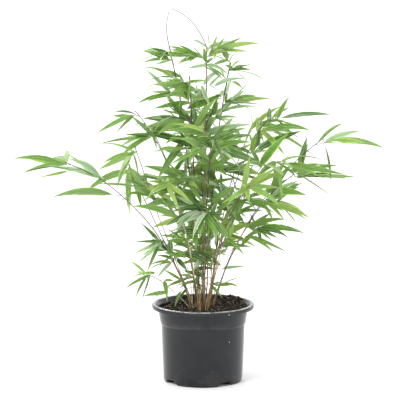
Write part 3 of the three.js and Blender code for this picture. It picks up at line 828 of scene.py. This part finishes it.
def leaf_blade(tree):
    """Upper face of a live leaf: parallel veins, drawn 1 mm apart so that they show, and a
    waxy skin whose gloss is uneven."""
    run = add(tree, "UVMap", uv_map="blade").outputs["UV"]
    veins = add(tree, "TexWave", {"Vector": run, "Scale": 320.0, "Distortion": 0.6,
                                  "Detail": 1.0}, bands_direction="Y").outputs["Fac"]
    bump = add(tree, "Bump", {"Height": veins, "Strength": 0.35, "Distance": 0.0003})
    place = add(tree, "TexCoord").outputs["Object"]
    wax = add(tree, "TexNoise", {"Vector": place, "Scale": 120.0, "Detail": 2.0})
    rough = add(tree, "MapRange", {0: wax, 1: 0.3, 2: 0.7, 3: LEAF_GLOSS[0], 4: LEAF_GLOSS[1]})
    return {"Normal": bump, "Roughness": rough}


# A living leaf lets part of the light through, which comes out yellower than what it throws
# back: the green and red scatter on for half a millimetre, the blue hardly at all.
LEAF_GLOSS = (0.38, 0.58)
THROUGH = {"Subsurface_Weight": 0.75, "Subsurface_Radius": (0.6, 1.0, 0.15),
           "Subsurface_Scale": 0.0009}
# The sixth top colour, the pale grey-green, is a painted sheen: light that glossy leaves throw back,
# laid on as their colour.
LEAF_TOPS_AND_SHEEN = ["#6b9040", "#7c9f4d", "#54783a", "#93ac58", "#456633", "#b0c3a5", "#8ea551"]
leaf_finishes = [finish(f"leaf_blade_{k}", colour, leaf_blade, **THROUGH)
                 for k, colour in enumerate(LEAF_TOPS_AND_SHEEN)]
leaf_finishes += [finish("leaf_underside", "#7f9c5c", leaf_blade, **THROUGH),
                  finish("leaf_midrib", "#93ab62", leaf_blade, **THROUGH),
                  finish("leaf_dry_tip", "#b0a072", leaf_blade)]
# How often each top colour is a spray's own, in the crown's top and below it. The top takes
# the pale grey-green, a painted sheen, three times as often, and the darkest greens less often.
HIGH_SPRAYS = (0.2, 0.24, 0.1, 0.13, 0.04, 0.22, 0.07)
LOW_SPRAYS = (0.26, 0.2, 0.17, 0.13, 0.12, 0.07, 0.05)
UNDERSIDE, MIDRIB, DRY = len(LEAF_TOPS_AND_SHEEN), len(LEAF_TOPS_AND_SHEEN) + 1, len(LEAF_TOPS_AND_SHEEN) + 2
CROWN_TOP = 0.46  # height above which a spray takes its colours from HIGH_SPRAYS
DRY_SHARE = 0.05  # of the leaves, those whose tips have dried

start, heading, length, mass = (np.array(part) for part in zip(*leaves))
count = len(leaves)
bend = leaf_chance.uniform(0.05, 0.9, count)
heading = unit(heading + [0, 0, 1] * np.tan(bend / 2)[:, None])
outward = unit(start * [1, 1, 0]) * 0.4
normal = LIGHT + outward + leaf_chance.normal(0, 0.65, (count, 3))
normal = unit(normal - (normal * heading).sum(1, keepdims=True) * heading)
width = np.clip(length * leaf_chance.uniform(0.105, 0.165, count), 0.0045, 0.016)
rings, leaf_ends = leaf_skins(start, heading, normal, length, width, bend,
                              leaf_chance.normal(0, 0.5, count),
                              leaf_chance.uniform(0.05, 0.4, count))
leaf_points = np.concatenate([rings.reshape(count, -1, 3), leaf_ends], 1)
quads, ends, quad_at, end_at = wrapped(len(STATIONS), LEAF_SIDES)
steps = (np.arange(count) * leaf_points.shape[1])[:, None, None]

spray_top = np.array([start[mass == number, 2].max(initial=0)
                      for number in range(mass.max() + 1)])
spray_hues = np.array([
    leaf_chance.choice(len(LEAF_TOPS_AND_SHEEN), 3, replace=False,
                       p=HIGH_SPRAYS if height > CROWN_TOP else LOW_SPRAYS)
    for height in spray_top])
top = spray_hues[mass, leaf_chance.choice(3, count, p=[0.6, 0.28, 0.12])]
row, column = quad_at[:, 0, 0], quad_at[:, 0, 1] % LEAF_SIDES
under, rib = column >= 5, column == 2
quad_pick = np.where(under, UNDERSIDE, np.where(rib, MIDRIB, top[:, None]))
end_pick = np.repeat(top[:, None], len(ends), 1)
dry = leaf_chance.uniform(0, 1, count) < DRY_SHARE
quad_pick[np.ix_(dry, row >= len(STATIONS) - 2)] = DRY
end_pick[np.ix_(dry, np.arange(len(ends)) >= LEAF_SIDES)] = DRY
ACROSS = np.array([-1, -0.55, -0.1, 0.1, 0.55, 1, 0, -1])  # of half the width, round a ring


def blade_map(at):
    """Metres along and across each leaf at its face corners."""
    along_leaf = STATIONS[at[..., 0].astype(int)] * length[:, None, None]
    side = np.interp(at[..., 1], np.arange(8), ACROSS) * width[:, None, None] / 2
    return np.stack([along_leaf, side], -1)


foliage = piece("bamboo_leaves", leaf_points.reshape(-1, 3), (quads + steps).reshape(-1, 4),
                (ends + steps).reshape(-1, 3), leaf_finishes,
                pick=np.r_[quad_pick.ravel(), end_pick.ravel()], crease=50,
                maps={"blade": (blade_map(quad_at), blade_map(end_at))})
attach(foliage, "root")
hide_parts(*masses)


# ---- Floor, light and camera --------------------------------------------------------------
# A plain white studio floor, a soft light from the front left and above, a weaker one from
# behind, white surroundings, and a camera far back with a long lens, above the rim.


def studio_white(tree):
    """Matt white studio paper with an even, very faint tooth."""
    place = add(tree, "TexCoord").outputs["Object"]
    tooth = add(tree, "TexNoise", {"Vector": place, "Scale": 400.0})
    rough = add(tree, "MapRange", {0: tooth, 3: 0.85, 4: 0.95})
    return {"Roughness": rough}


mesh = bpy.data.meshes.new("studio_floor")
mesh.from_pydata([(-20, -20, 0), (20, -20, 0), (20, 20, 0), (-20, 20, 0)], [], [(0, 1, 2, 3)])
mesh.materials.append(finish("studio_paper", "#f4f4f4", studio_white))
floor = bpy.data.objects.new("studio_floor", mesh)
bpy.context.scene.collection.objects.link(floor)

scene = bpy.context.scene
scene.view_settings.view_transform = "Standard"
scene.world = bpy.data.worlds.new("studio")
scene.world.use_nodes = True
surround = scene.world.node_tree.nodes["Background"]
surround.inputs["Color"].default_value = (1, 1, 1, 1)
surround.inputs["Strength"].default_value = 1.3


def soft_sun(name, direction, spread, power):
    """Even light from far away along a direction, from a source spread degrees wide."""
    lamp = bpy.data.lights.new(name, "SUN")
    lamp.angle, lamp.energy = math.radians(spread), power
    made = bpy.data.objects.new(name, lamp)
    made.rotation_euler = Vector(direction).to_track_quat("-Z", "Y").to_euler()
    scene.collection.objects.link(made)


soft_sun("key_softbox", (0.45, 0.6, -1.0), 14, 0.9)
soft_sun("back_softbox", (0.15, -0.85, -0.6), 14, 0.7)

CAMERA_AIM = Vector((-0.005, 0, 0.303))
CAMERA_AWAY, CAMERA_HEIGHT, VIEW_WIDTH = 5.0, 1.129, 0.66
camera = bpy.data.objects.new("camera", bpy.data.cameras.new("camera"))
camera.location = (CAMERA_AIM.x, -CAMERA_AWAY, CAMERA_HEIGHT)
camera.rotation_euler = (CAMERA_AIM - camera.location).to_track_quat("-Z", "Y").to_euler()
camera.data.sensor_width = 36
camera.data.lens = 36 * (CAMERA_AIM - camera.location).length / VIEW_WIDTH
scene.collection.objects.link(camera)
scene.camera = camera
